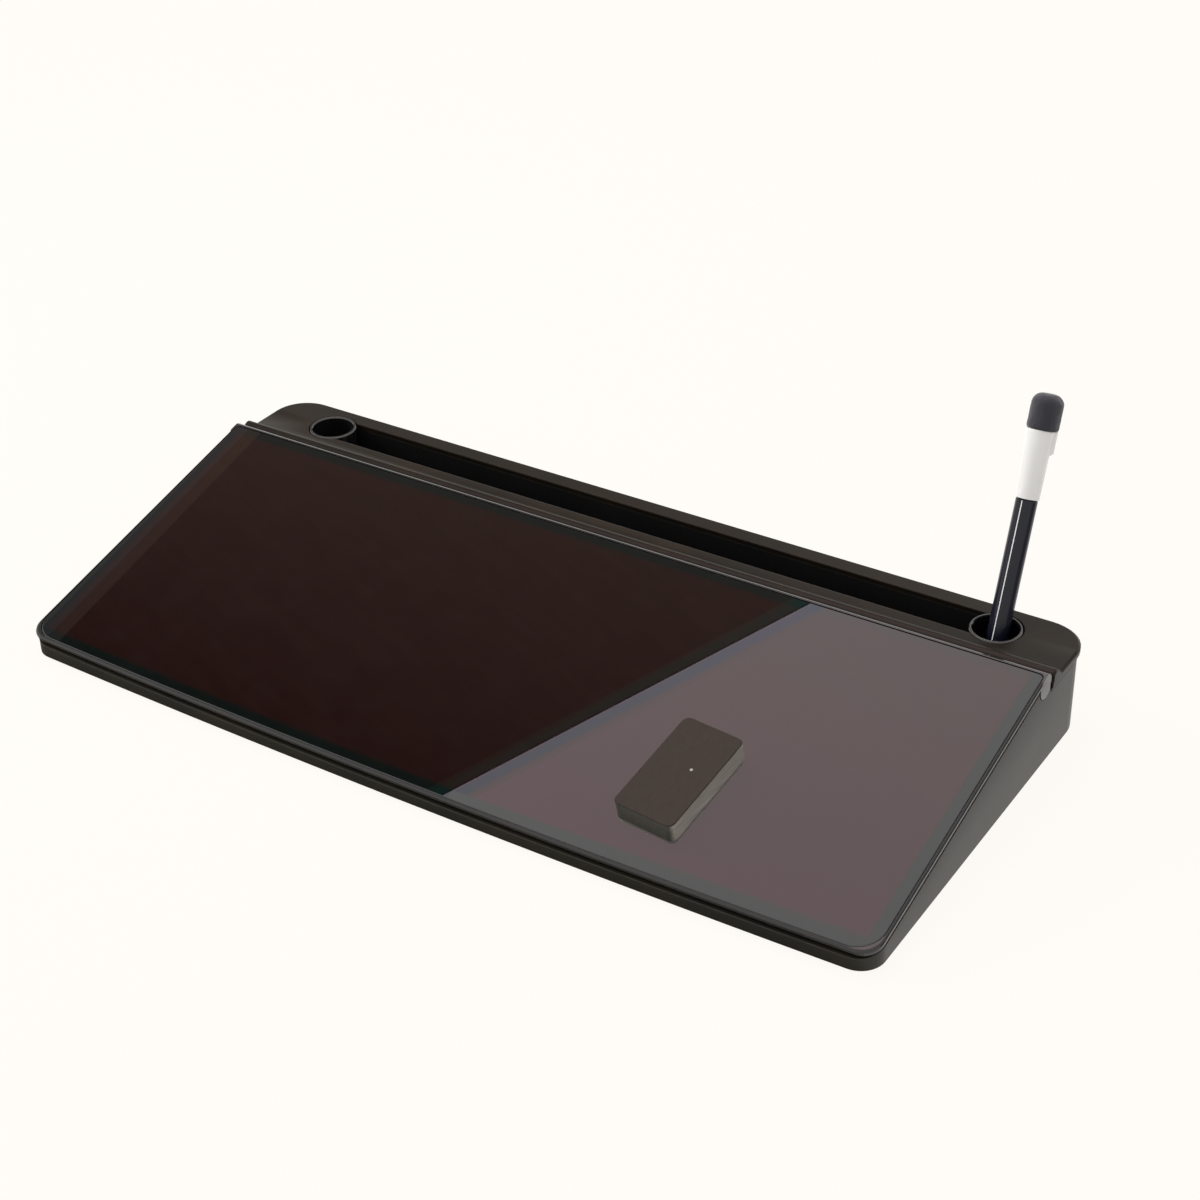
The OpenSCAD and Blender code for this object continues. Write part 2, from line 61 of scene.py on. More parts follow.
def makeCamera(setup):
    yaw, pitch, roll = (math.radians(setup[k]) for k in ("yaw", "pitch", "roll"))
    ahead = Vector((math.sin(yaw) * math.cos(pitch), math.cos(yaw) * math.cos(pitch), -math.sin(pitch)))
    level = Vector((math.cos(yaw), -math.sin(yaw), 0))
    under = ahead.cross(level)
    right = level * math.cos(roll) + under * math.sin(roll)
    down = under * math.cos(roll) - level * math.sin(roll)
    data = bpy.data.cameras.new("photoCamera")
    data.sensor_width = 36
    data.lens = setup["lens"]
    data.clip_start, data.clip_end = 0.02, 50
    camera = bpy.data.objects.new("photoCamera", data)
    bpy.context.scene.collection.objects.link(camera)
    turn = Matrix((right, -down, -ahead)).transposed().to_4x4()
    place = Vector(setup["place"]) + Vector((0, frontChord, footDrop))
    camera.matrix_world = Matrix.Translation(place) @ turn
    bpy.context.scene.camera = camera


makeCamera(cameraSetup)
bpy.context.scene.view_settings.view_transform = "Standard"

# Frames of the board, the eraser and the marker, from the measures of the solids

layout = {
    "boardAngle": 13.65,
    "boardFrontHeight": 0.00965,
    "eraserPlace": (0.1011, 0.0385),
    "eraserTurn": -4.8,
    "eraserSize": (0.027, 0.0486),
    "eraserGap": 0.00005,    # between the felt and the glass
    "feltDepth": 0.0025,
    "markerTilt": 23.0,
    "markerLean": 93.0,
    "markerLength": 0.1182,
    "capMouth": 0.0765,
    "cupPlace": (0.1665, 0.1697),
    "cupRadius": 0.0094,
    "cupFloor": 0.013,
    "cupSideGap": 0.00015,
    "cupFloorGap": 0.00005,
    "deckHeight": 0.0383,
    "markerRadius": 0.0044,
}

caseFrame = Matrix.Translation((0, frontChord, footDrop))
boardFrame = (caseFrame @ Matrix.Translation((0, 0, layout["boardFrontHeight"]))
              @ Matrix.Rotation(math.radians(layout["boardAngle"]), 4, "X"))
eraserFrame = (boardFrame @ Matrix.Translation((*layout["eraserPlace"], layout["eraserGap"]))
               @ Matrix.Rotation(math.radians(layout["eraserTurn"]), 4, "Z"))


def makeMarkerFrame(lay):
    tilt, lean = math.radians(lay["markerTilt"]), math.radians(lay["markerLean"])
    reach = lay["cupRadius"] - lay["markerRadius"] / math.cos(tilt) - lay["cupSideGap"]
    drop = lay["deckHeight"] - lay["cupFloor"] - lay["markerRadius"] * math.sin(tilt) - lay["cupFloorGap"]
    rim = Vector((lay["cupPlace"][0] + reach * math.cos(lean),
                  lay["cupPlace"][1] + reach * math.sin(lean), lay["deckHeight"]))
    return (caseFrame @ Matrix.Translation(rim) @ Matrix.Rotation(lean, 4, "Z")
            @ Matrix.Rotation(tilt, 4, "Y") @ Matrix.Translation((0, 0, -drop / math.cos(tilt))))


markerFrame = makeMarkerFrame(layout)

# Shader helpers and shared effects


def addNode(tree, kind, place, **values):
    made = tree.nodes.new(kind)
    made.location = place
    for key, value in values.items():
        setattr(made, key, value)
    return made


def newGroup(name, inputs, outputs):
    tree = bpy.data.node_groups.new(name, "ShaderNodeTree")
    for label, default in inputs:
        socket = tree.interface.new_socket(name=label, in_out="INPUT", socket_type="NodeSocketFloat")
        socket.default_value = default
    for label, kind in outputs:
        tree.interface.new_socket(name=label, in_out="OUTPUT", socket_type=kind)
    return tree, addNode(tree, "NodeGroupInput", (-1000, 0)), addNode(tree, "NodeGroupOutput", (900, 0))


def makeGrain():
    # fine mould texture: soft noise with small pits
    tree, put, out = newGroup("mouldGrain", [("Scale", 2500), ("Pits", 0.4)],
                              [("Height", "NodeSocketFloat"), ("Cloud", "NodeSocketFloat")])
    where = addNode(tree, "ShaderNodeTexCoord", (-1000, 300))
    fine = addNode(tree, "ShaderNodeTexNoise", (-700, 200))
    fine.inputs["Detail"].default_value = 3
    pits = addNode(tree, "ShaderNodeTexVoronoi", (-700, -100))
    cloud = addNode(tree, "ShaderNodeTexNoise", (-700, -400))
    cloud.inputs["Scale"].default_value = 28
    cloud.inputs["Detail"].default_value = 4
    ramp = addNode(tree, "ShaderNodeMapRange", (-450, -100))
    ramp.inputs["From Min"].default_value = 0.05
    ramp.inputs["From Max"].default_value = 0.35
    blend = addNode(tree, "ShaderNodeMix", (-100, 100), data_type="FLOAT")
    tree.links.new(where.outputs["Object"], fine.inputs["Vector"])
    tree.links.new(where.outputs["Object"], pits.inputs["Vector"])
    tree.links.new(where.outputs["Object"], cloud.inputs["Vector"])
    tree.links.new(put.outputs["Scale"], fine.inputs["Scale"])
    tree.links.new(put.outputs["Scale"], pits.inputs["Scale"])
    tree.links.new(pits.outputs["Distance"], ramp.inputs["Value"])
    tree.links.new(put.outputs["Pits"], blend.inputs["Factor"])
    tree.links.new(fine.outputs["Fac"], blend.inputs["A"])
    tree.links.new(ramp.outputs["Result"], blend.inputs["B"])
    tree.links.new(blend.outputs["Result"], out.inputs["Height"])
    tree.links.new(cloud.outputs["Fac"], out.inputs["Cloud"])
    return tree


def makeEdgeWearAndHighlight():
    # rounds the edges for the shader, and marks the edges where hands have rubbed them; on the case this
    # mark is mostly a painted edge highlight
    tree, put, out = newGroup("edgeWearAndHighlight", [("Radius", 0.0004), ("Patchiness", 0.5)],
                              [("Mask", "NodeSocketFloat"), ("Normal", "NodeSocketVector")])
    soft = addNode(tree, "ShaderNodeBevel", (-700, 200), samples=6)
    plain = addNode(tree, "ShaderNodeNewGeometry", (-700, -50))
    dot = addNode(tree, "ShaderNodeVectorMath", (-450, 100), operation="DOT_PRODUCT")
    lift = addNode(tree, "ShaderNodeMapRange", (-250, 100))
    lift.inputs["From Min"].default_value = 0.995
    lift.inputs["From Max"].default_value = 0.8
    where = addNode(tree, "ShaderNodeTexCoord", (-900, -350))
    patch = addNode(tree, "ShaderNodeTexNoise", (-700, -350))
    patch.inputs["Scale"].default_value = 140
    patch.inputs["Detail"].default_value = 5
    fade = addNode(tree, "ShaderNodeMapRange", (-450, -300))
    fade.inputs["From Min"].default_value = 0.35
    fade.inputs["From Max"].default_value = 0.7
    spread = addNode(tree, "ShaderNodeMix", (-150, -250), data_type="FLOAT")
    spread.inputs["A"].default_value = 1
    mask = addNode(tree, "ShaderNodeMath", (200, 0), operation="MULTIPLY")
    tree.links.new(put.outputs["Radius"], soft.inputs["Radius"])
    tree.links.new(soft.outputs["Normal"], dot.inputs[0])
    tree.links.new(plain.outputs["Normal"], dot.inputs[1])
    tree.links.new(dot.outputs["Value"], lift.inputs["Value"])
    tree.links.new(where.outputs["Object"], patch.inputs["Vector"])
    tree.links.new(patch.outputs["Fac"], fade.inputs["Value"])
    tree.links.new(put.outputs["Patchiness"], spread.inputs["Factor"])
    tree.links.new(fade.outputs["Result"], spread.inputs["B"])
    tree.links.new(lift.outputs["Result"], mask.inputs[0])
    tree.links.new(spread.outputs["Result"], mask.inputs[1])
    tree.links.new(mask.outputs["Value"], out.inputs["Mask"])
    tree.links.new(soft.outputs["Normal"], out.inputs["Normal"])
    return tree


def makeDust():
    # specks and a thin film that gather on faces turned upward
    tree, put, out = newGroup("deskDust", [("Amount", 0.3), ("Speck Scale", 900)],
                              [("Mask", "NodeSocketFloat")])
    where = addNode(tree, "ShaderNodeTexCoord", (-1000, 300))
    specks = addNode(tree, "ShaderNodeTexVoronoi", (-700, 250))
    near = addNode(tree, "ShaderNodeMapRange", (-450, 250))
    near.inputs["From Min"].default_value = 0.16
    near.inputs["From Max"].default_value = 0.05
    chance = addNode(tree, "ShaderNodeMath", (-450, 0), operation="GREATER_THAN")
    chance.inputs[1].default_value = 0.9
    split = addNode(tree, "ShaderNodeSeparateColor", (-600, 0))
    film = addNode(tree, "ShaderNodeTexNoise", (-700, -250))
    film.inputs["Scale"].default_value = 60
    film.inputs["Detail"].default_value = 6
    filmLift = addNode(tree, "ShaderNodeMapRange", (-450, -250))
    filmLift.inputs["From Min"].default_value = 0.45
    filmLift.inputs["From Max"].default_value = 0.9
    filmLift.inputs["To Max"].default_value = 0.35
    up = addNode(tree, "ShaderNodeSeparateXYZ", (-500, -500))
    upLift = addNode(tree, "ShaderNodeMapRange", (-300, -500))
    upLift.inputs["From Min"].default_value = 0.3
    upLift.inputs["From Max"].default_value = 0.95
    dots = addNode(tree, "ShaderNodeMath", (-200, 150), operation="MULTIPLY")
    both = addNode(tree, "ShaderNodeMath", (0, 0), operation="MAXIMUM")
    faced = addNode(tree, "ShaderNodeMath", (200, 0), operation="MULTIPLY")
    scaled = addNode(tree, "ShaderNodeMath", (400, 0), operation="MULTIPLY")
    for texture in (specks, film):
        tree.links.new(where.outputs["Object"], texture.inputs["Vector"])
    tree.links.new(put.outputs["Speck Scale"], specks.inputs["Scale"])
    tree.links.new(specks.outputs["Distance"], near.inputs["Value"])
    tree.links.new(specks.outputs["Color"], split.inputs["Color"])
    tree.links.new(split.outputs["Red"], chance.inputs[0])
    tree.links.new(near.outputs["Result"], dots.inputs[0])
    tree.links.new(chance.outputs["Value"], dots.inputs[1])
    tree.links.new(film.outputs["Fac"], filmLift.inputs["Value"])
    tree.links.new(dots.outputs["Value"], both.inputs[0])
    tree.links.new(filmLift.outputs["Result"], both.inputs[1])
    tree.links.new(where.outputs["Normal"], up.inputs["Vector"])
    tree.links.new(up.outputs["Z"], upLift.inputs["Value"])
    tree.links.new(both.outputs["Value"], faced.inputs[0])
    tree.links.new(upLift.outputs["Result"], faced.inputs[1])
    tree.links.new(faced.outputs["Value"], scaled.inputs[0])
    tree.links.new(put.outputs["Amount"], scaled.inputs[1])
    tree.links.new(scaled.outputs["Value"], out.inputs["Mask"])
    return tree


def makeWipeMarks():
    # long faint strokes that a cloth or an eraser leaves
    tree, put, out = newGroup("wipeMarks", [("Stretch", 14), ("Scale", 55), ("Turn", 0.35)],
                              [("Streaks", "NodeSocketFloat"), ("Scratches", "NodeSocketFloat")])
    where = addNode(tree, "ShaderNodeTexCoord", (-1000, 300))
    turn = addNode(tree, "ShaderNodeVectorRotate", (-800, 300), rotation_type="Z_AXIS")
    squeeze = addNode(tree, "ShaderNodeCombineXYZ", (-800, 50))
    squeeze.inputs["X"].default_value = 1
    squeeze.inputs["Z"].default_value = 1
    stretched = addNode(tree, "ShaderNodeVectorMath", (-600, 200), operation="MULTIPLY")
    streaks = addNode(tree, "ShaderNodeTexNoise", (-350, 250))
    streaks.inputs["Detail"].default_value = 5
    lines = addNode(tree, "ShaderNodeTexVoronoi", (-350, -100), feature="DISTANCE_TO_EDGE")
    thin = addNode(tree, "ShaderNodeMapRange", (-100, -100))
    thin.inputs["From Min"].default_value = 0.012
    thin.inputs["From Max"].default_value = 0.0
    streakLift = addNode(tree, "ShaderNodeMapRange", (-100, 250))
    streakLift.inputs["From Min"].default_value = 0.4
    streakLift.inputs["From Max"].default_value = 0.75
    tree.links.new(where.outputs["Object"], turn.inputs["Vector"])
    tree.links.new(put.outputs["Turn"], turn.inputs["Angle"])
    tree.links.new(put.outputs["Stretch"], squeeze.inputs["Y"])
    tree.links.new(turn.outputs["Vector"], stretched.inputs[0])
    tree.links.new(squeeze.outputs["Vector"], stretched.inputs[1])
    tree.links.new(stretched.outputs["Vector"], streaks.inputs["Vector"])
    tree.links.new(stretched.outputs["Vector"], lines.inputs["Vector"])
    tree.links.new(put.outputs["Scale"], streaks.inputs["Scale"])
    tree.links.new(put.outputs["Scale"], lines.inputs["Scale"])
    tree.links.new(streaks.outputs["Fac"], streakLift.inputs["Value"])
    tree.links.new(lines.outputs["Distance"], thin.inputs["Value"])
    tree.links.new(streakLift.outputs["Result"], out.inputs["Streaks"])
    tree.links.new(thin.outputs["Result"], out.inputs["Scratches"])
    return tree


grainGroup = makeGrain()
wearAndHighlightGroup = makeEdgeWearAndHighlight()
dustGroup = makeDust()
wipeGroup = makeWipeMarks()


def placeGroup(tree, group, place, values):
    made = addNode(tree, "ShaderNodeGroup", place, node_tree=group)
    for label, value in values.items():
        made.inputs[label].default_value = value
    return made


def newMaterial(name):
    material = bpy.data.materials.new(name)
    material.use_nodes = True
    tree = material.node_tree
    tree.nodes.clear()
    shader = addNode(tree, "ShaderNodeBsdfPrincipled", (600, 0))
    out = addNode(tree, "ShaderNodeOutputMaterial", (900, 0))
    tree.links.new(shader.outputs["BSDF"], out.inputs["Surface"])
    return material, tree, shader


def mixColour(tree, place, factor, first, second):
    # first and second are colours or sockets
    made = addNode(tree, "ShaderNodeMix", place, data_type="RGBA")
    for label, value in (("A", first), ("B", second)):
        socket = [s for s in made.inputs if s.name == label and s.type == "RGBA"][0]
        if isinstance(value, tuple):
            socket.default_value = (*value, 1)
        else:
            tree.links.new(value, socket)
    tree.links.new(factor, made.inputs["Factor"])
    return [s for s in made.outputs if s.type == "RGBA"][0]


def mapTo(tree, place, source, low, high):
    made = addNode(tree, "ShaderNodeMapRange", place)
    made.inputs["To Min"].default_value = low
    made.inputs["To Max"].default_value = high
    tree.links.new(source, made.inputs["Value"])
    return made.outputs["Result"]


def addTo(tree, place, first, second, operation="ADD"):
    made = addNode(tree, "ShaderNodeMath", place, operation=operation, use_clamp=True)
    for socket, value in zip(made.inputs, (first, second)):
        if isinstance(value, (int, float)):
            socket.default_value = value
        else:
            tree.links.new(value, socket)
    return made.outputs["Value"]


def bumpFrom(tree, place, height, distance, strength, normal=None):
    made = addNode(tree, "ShaderNodeBump", place)
    made.inputs["Distance"].default_value = distance
    made.inputs["Strength"].default_value = strength
    tree.links.new(height, made.inputs["Height"])
    if normal is not None:
        tree.links.new(normal, made.inputs["Normal"])
    return made.outputs["Normal"]


dustColour = (0.32, 0.3, 0.27)


def mouldedPlastic(name, look):
    material, tree, shader = newMaterial(name)
    grain = placeGroup(tree, grainGroup, (-700, 300), {"Scale": look["grainScale"], "Pits": look["pits"]})
    wearAndHighlight = placeGroup(tree, wearAndHighlightGroup, (-700, 0), {"Radius": look["edgeRadius"], "Patchiness": 0.6})
    dust = placeGroup(tree, dustGroup, (-700, -300), {"Amount": look["dust"]})
    tone = mixColour(tree, (-350, 300), grain.outputs["Cloud"], look["colour"], look["shade"])
    # edge colour: wear, and on the case mostly a painted highlight along the edges
    rubbedAndLitEdges = addTo(tree, (-500, 100), wearAndHighlight.outputs["Mask"], look["wearAndHighlight"], "MULTIPLY")
    tone = mixColour(tree, (-150, 200), rubbedAndLitEdges, tone, look["wearAndHighlightColour"])
    tone = mixColour(tree, (50, 200), dust.outputs["Mask"], tone, dustColour)
    rough = mapTo(tree, (-350, -100), grain.outputs["Cloud"], look["rough"][0], look["rough"][1])
    rough = addTo(tree, (-100, -100), rough, dust.outputs["Mask"])
    tree.links.new(tone, shader.inputs["Base Color"])
    tree.links.new(rough, shader.inputs["Roughness"])
    normal = bumpFrom(tree, (250, -300), grain.outputs["Height"], look["grainDepth"], 0.6,
                      wearAndHighlight.outputs["Normal"])
    tree.links.new(normal, shader.inputs["Normal"])
    shader.inputs["IOR"].default_value = look["ior"]
    return material


def metal(name, look):
    material, tree, shader = newMaterial(name)
    grain = placeGroup(tree, grainGroup, (-700, 300), {"Scale": look["grainScale"], "Pits": 0.2})
    wipe = placeGroup(tree, wipeGroup, (-700, 0), {"Stretch": 30, "Scale": 400})
    tone = mixColour(tree, (-350, 300), grain.outputs["Cloud"], look["colour"], look["shade"])
    rough = mapTo(tree, (-350, 0), wipe.outputs["Streaks"], look["rough"][0], look["rough"][1])
    tree.links.new(tone, shader.inputs["Base Color"])
    tree.links.new(rough, shader.inputs["Roughness"])
    shader.inputs["Metallic"].default_value = 1
    normal = bumpFrom(tree, (250, -300), wipe.outputs["Streaks"], 0.00002, 0.4)
    tree.links.new(normal, shader.inputs["Normal"])
    return material


def facingAway(tree, place, flat=0.99, steep=0.9):
    # 0 on faces that lie along the board, 1 on the sides of what lies on it
    where = addNode(tree, "ShaderNodeTexCoord", place)
    across = addNode(tree, "ShaderNodeVectorMath", (place[0] + 200, place[1]), operation="DOT_PRODUCT")
    across.inputs[1].default_value = boardFrame.to_3x3() @ Vector((0, 0, 1))
    edge = addNode(tree, "ShaderNodeMapRange", (place[0] + 400, place[1]))
    edge.inputs["From Min"].default_value = flat
    edge.inputs["From Max"].default_value = steep
    tree.links.new(where.outputs["Normal"], across.inputs[0])
    tree.links.new(across.outputs["Value"], edge.inputs["Value"])
    return edge.outputs["Result"]


def facingAlong(tree, place, direction):
    # 1 on faces that look up or down a direction, 0 on those beside it
    where = addNode(tree, "ShaderNodeTexCoord", place)
    across = addNode(tree, "ShaderNodeVectorMath", (place[0] + 200, place[1]), operation="DOT_PRODUCT")
    across.inputs[1].default_value = direction
    size = addNode(tree, "ShaderNodeMath", (place[0] + 400, place[1]), operation="ABSOLUTE")
    edge = addNode(tree, "ShaderNodeMapRange", (place[0] + 600, place[1]))
    edge.inputs["From Min"].default_value = 0.5
    edge.inputs["From Max"].default_value = 0.85
    tree.links.new(where.outputs["Normal"], across.inputs[0])
    tree.links.new(across.outputs["Value"], size.inputs[0])
    tree.links.new(size.outputs[0], edge.inputs["Value"])
    return edge.outputs["Result"]


def borderMask(tree, place, look):
    # 1 along the rim of the board, where the glass has a greenish border, 0 further in
    where = addNode(tree, "ShaderNodeTexCoord", place)
    flat = addNode(tree, "ShaderNodeMapping", (place[0] + 200, place[1]), vector_type="TEXTURE")
    flat.inputs["Location"].default_value = boardFrame.translation
    flat.inputs["Rotation"].default_value = boardFrame.to_euler()
    parts = addNode(tree, "ShaderNodeSeparateXYZ", (place[0] + 400, place[1]))
    side = addNode(tree, "ShaderNodeMath", (place[0] + 600, place[1]), operation="ABSOLUTE")
    tree.links.new(where.outputs["Object"], flat.inputs["Vector"])
    tree.links.new(flat.outputs["Vector"], parts.inputs["Vector"])
    tree.links.new(parts.outputs["X"], side.inputs[0])
    toSide = addTo(tree, (place[0] + 800, place[1]), look["reach"][0], side.outputs[0], "SUBTRACT")
    toBack = addTo(tree, (place[0] + 800, place[1] - 150), look["reach"][1], parts.outputs["Y"], "SUBTRACT")
    # the front edge bows out towards the middle
    bow = addTo(tree, (place[0] + 600, place[1] - 300), side.outputs[0], side.outputs[0], "MULTIPLY")
    bow = addTo(tree, (place[0] + 700, place[1] - 300), bow, look["bow"], "MULTIPLY")
    toFront = addTo(tree, (place[0] + 800, place[1] - 300), parts.outputs["Y"], bow, "SUBTRACT")
    toFront = addTo(tree, (place[0] + 900, place[1] - 300), toFront, look["frontReach"])
    near = addTo(tree, (place[0] + 1000, place[1]), toSide, toBack, "MINIMUM")
    near = addTo(tree, (place[0] + 1100, place[1]), near, toFront, "MINIMUM")
    fade = addNode(tree, "ShaderNodeMapRange", (place[0] + 1200, place[1]), interpolation_type="SMOOTHSTEP")
    fade.inputs["From Min"].default_value = look["borderWidth"] * 1.3
    fade.inputs["From Max"].default_value = look["borderWidth"] * 0.7
    tree.links.new(near, fade.inputs["Value"])
    return fade.outputs["Result"]


def boardGlass(name, look):
    # black film seen through clear glass, with ground edges
    material, tree, shader = newMaterial(name)
    wipe = placeGroup(tree, wipeGroup, (-700, 0), {"Stretch": 9, "Scale": 26})
    dust = placeGroup(tree, dustGroup, (-700, -300), {"Amount": look["dust"], "Speck Scale": 700})
    edge = facingAway(tree, (-1000, 400))
    tone = mixColour(tree, (-350, 300), wipe.outputs["Streaks"], look["colour"], look["shade"])
    tone = mixColour(tree, (-250, 400), borderMask(tree, (-1400, 700), look), tone, look["border"])
    tone = mixColour(tree, (-150, 300), edge, tone, look["edgeColour"])
    tone = mixColour(tree, (50, 300), dust.outputs["Mask"], tone, look["dustColour"])
    rough = mapTo(tree, (-350, 0), wipe.outputs["Streaks"], look["rough"][0], look["rough"][1])
    ground = addTo(tree, (-350, -200), edge, look["edgeRough"], "MULTIPLY")
    rough = addTo(tree, (-100, -50), rough, ground)
    tree.links.new(tone, shader.inputs["Base Color"])
    tree.links.new(rough, shader.inputs["Roughness"])
    normal = bumpFrom(tree, (250, -300), wipe.outputs["Scratches"], look["scratchDepth"],
                      look["scratchStrength"])
    tree.links.new(normal, shader.inputs["Normal"])
    shader.inputs["IOR"].default_value = look["ior"]
    return material


def pressedBlock(name, look):
    # smooth dark top, cut ends darkened with painted shade, and pale long sides with fine streaks along the
    # block, partly their own paler colour and partly painted light
    material, tree, shader = newMaterial(name)
    grain = placeGroup(tree, grainGroup, (-700, 500), {"Scale": look["grainScale"], "Pits": 0.5})
    wipe = placeGroup(tree, wipeGroup, (-700, 200), {"Stretch": 0.05, "Scale": 1100, "Turn": look["turn"]})
    wearAndHighlight = placeGroup(tree, wearAndHighlightGroup, (-700, -100), {"Radius": look["edgeRadius"], "Patchiness": 0.6})
    side = facingAway(tree, (-1000, -400), flat=0.55, steep=0.15)
    top = mixColour(tree, (-350, 400), grain.outputs["Cloud"], look["colour"], look["shade"])
    # long sides: partly their own paler colour, partly painted light; ends: painted shade
    sideWithPaintedLight = mixColour(tree, (-350, 200), wipe.outputs["Streaks"], look["side"], look["streakWithPaintedLight"])
    endWithPaintedShade = mixColour(tree, (-350, 100), wipe.outputs["Streaks"], look["end"], look["endStreakWithPaintedShade"])
    sideWithPaintedLight = mixColour(tree, (-250, 150), facingAlong(tree, (-1000, -700), look["lengthways"]), sideWithPaintedLight, endWithPaintedShade)
    tone = mixColour(tree, (-150, 300), side, top, sideWithPaintedLight)
    rubbedAndLitEdges = addTo(tree, (-350, 0), wearAndHighlight.outputs["Mask"], look["wearAndHighlight"], "MULTIPLY")
    tone = mixColour(tree, (50, 300), rubbedAndLitEdges, tone, look["wearAndHighlightColour"])
    rough = mapTo(tree, (-350, -200), wipe.outputs["Streaks"], look["rough"][0], look["rough"][1])
    tree.links.new(tone, shader.inputs["Base Color"])
    tree.links.new(rough, shader.inputs["Roughness"])
    both = addTo(tree, (-100, -300), grain.outputs["Height"], wipe.outputs["Streaks"])
    normal = bumpFrom(tree, (250, -300), both, look["grainDepth"], 0.6, wearAndHighlight.outputs["Normal"])
    tree.links.new(normal, shader.inputs["Normal"])
    shader.inputs["IOR"].default_value = look["ior"]
    return material


def feltCloth(name, look):
    material, tree, shader = newMaterial(name)
    where = addNode(tree, "ShaderNodeTexCoord", (-1000, 0))
    fibres = addNode(tree, "ShaderNodeTexNoise", (-700, 200))
    fibres.inputs["Scale"].default_value = look["fibreScale"]
    fibres.inputs["Detail"].default_value = 8
    fibres.inputs["Distortion"].default_value = 2.5
    clumps = addNode(tree, "ShaderNodeTexNoise", (-700, -100))
    clumps.inputs["Scale"].default_value = look["fibreScale"] / 7
    clumps.inputs["Detail"].default_value = 4
    for texture in (fibres, clumps):
        tree.links.new(where.outputs["Object"], texture.inputs["Vector"])
    tone = mixColour(tree, (-350, 200), fibres.outputs["Fac"], look["colour"], look["shade"])
    tone = mixColour(tree, (-150, 100), clumps.outputs["Fac"], tone, look["clump"])
    both = addTo(tree, (-350, -100), fibres.outputs["Fac"], clumps.outputs["Fac"], "MULTIPLY")
    tree.links.new(tone, shader.inputs["Base Color"])
    normal = bumpFrom(tree, (250, -300), both, 0.0004, 0.9)
    tree.links.new(normal, shader.inputs["Normal"])
    shader.inputs["Roughness"].default_value = 0.95
    shader.inputs["Sheen Weight"].default_value = 0.35
    shader.inputs["Sheen Roughness"].default_value = 0.5
    return material


# Finishes

looks = {
    # the case's pale edge colour is mostly a painted highlight along its edges, with some wear
    "case": {"colour": (0.007, 0.0082, 0.008), "shade": (0.024, 0.0195, 0.0105),
             "wearAndHighlightColour": (0.13, 0.13, 0.118), "wearAndHighlight": 0.5, "rough": (0.3, 0.4), "grainScale": 2600,
             "pits": 0.4, "grainDepth": 0.00002, "edgeRadius": 0.0004, "dust": 0.02, "ior": 1.33},
    "lid": {"colour": (0.007, 0.007, 0.0068), "shade": (0.011, 0.0108, 0.0102),
            "wearAndHighlightColour": (0.045, 0.045, 0.043), "wearAndHighlight": 0.35, "rough": (0.1, 0.16), "grainScale": 2600,
            "pits": 0.35, "grainDepth": 0.000008, "edgeRadius": 0.00025, "dust": 0.02, "ior": 1.55},
    "deck": {"colour": (0.004, 0.0052, 0.0042), "shade": (0.016, 0.009, 0.0045),
             "wearAndHighlightColour": (0.07, 0.065, 0.06), "wearAndHighlight": 0.25, "rough": (0.28, 0.38), "grainScale": 2600,
             "pits": 0.4, "grainDepth": 0.00002, "edgeRadius": 0.0006, "dust": 0.02, "ior": 1.26},
    "trough": {"colour": (0.005, 0.005, 0.005), "shade": (0.008, 0.007, 0.007),
               "wearAndHighlightColour": (0.04, 0.04, 0.04), "wearAndHighlight": 0.2, "rough": (0.35, 0.5), "grainScale": 3200,
               "pits": 0.5, "grainDepth": 0.00002, "edgeRadius": 0.0003, "dust": 0.06, "ior": 1.4},
    "cup": {"colour": (0.006, 0.006, 0.006), "shade": (0.009, 0.008, 0.008),
            "wearAndHighlightColour": (0.05, 0.05, 0.05), "wearAndHighlight": 0.2, "rough": (0.08, 0.14), "grainScale": 3200,
            "pits": 0.3, "grainDepth": 0.000006, "edgeRadius": 0.0003, "dust": 0.04, "ior": 1.75},
    "rubber": {"colour": (0.015, 0.015, 0.015), "shade": (0.025, 0.025, 0.024),
               "wearAndHighlightColour": (0.08, 0.08, 0.08), "wearAndHighlight": 0.3, "rough": (0.7, 0.85), "grainScale": 1800,
               "pits": 0.6, "grainDepth": 0.00004, "edgeRadius": 0.0003, "dust": 0.1, "ior": 1.5},
    "markerShell": {"colour": (0.006, 0.007, 0.014), "shade": (0.009, 0.01, 0.018),
                    "wearAndHighlightColour": (0.05, 0.05, 0.06), "wearAndHighlight": 0.3, "rough": (0.16, 0.24),
                    "grainScale": 3000, "pits": 0.2, "grainDepth": 0.000008, "edgeRadius": 0.0003,
                    "dust": 0.03, "ior": 1.4},
    "capShell": {"colour": (0.8, 0.79, 0.77), "shade": (0.74, 0.73, 0.71), "wearAndHighlightColour": (0.6, 0.6, 0.58),
                 "wearAndHighlight": 0.2, "rough": (0.2, 0.28), "grainScale": 3000, "pits": 0.2, "grainDepth": 0.000008,
                 "edgeRadius": 0.0003, "dust": 0.03, "ior": 1.5},
}

finishes = {key: mouldedPlastic(key + "Plastic", look) for key, look in looks.items()}
finishes["glass"] = boardGlass("boardGlass", {
    "colour": (0.0105, 0.0042, 0.0036), "shade": (0.012, 0.005, 0.0042),
    "edgeColour": (0.05, 0.052, 0.053), "edgeRough": 0.3, "rough": (0.004, 0.014), "ior": 1.52,
    "border": (0.0035, 0.0052, 0.0047), "borderWidth": 0.0045,
    "reach": (0.199, 0.1451), "frontReach": 0.002, "bow": 0.08,    # the board's outline for the border
    "scratchDepth": 0.000002, "scratchStrength": 0.03, "dust": 0.015, "dustColour": (0.3, 0.28, 0.27)})
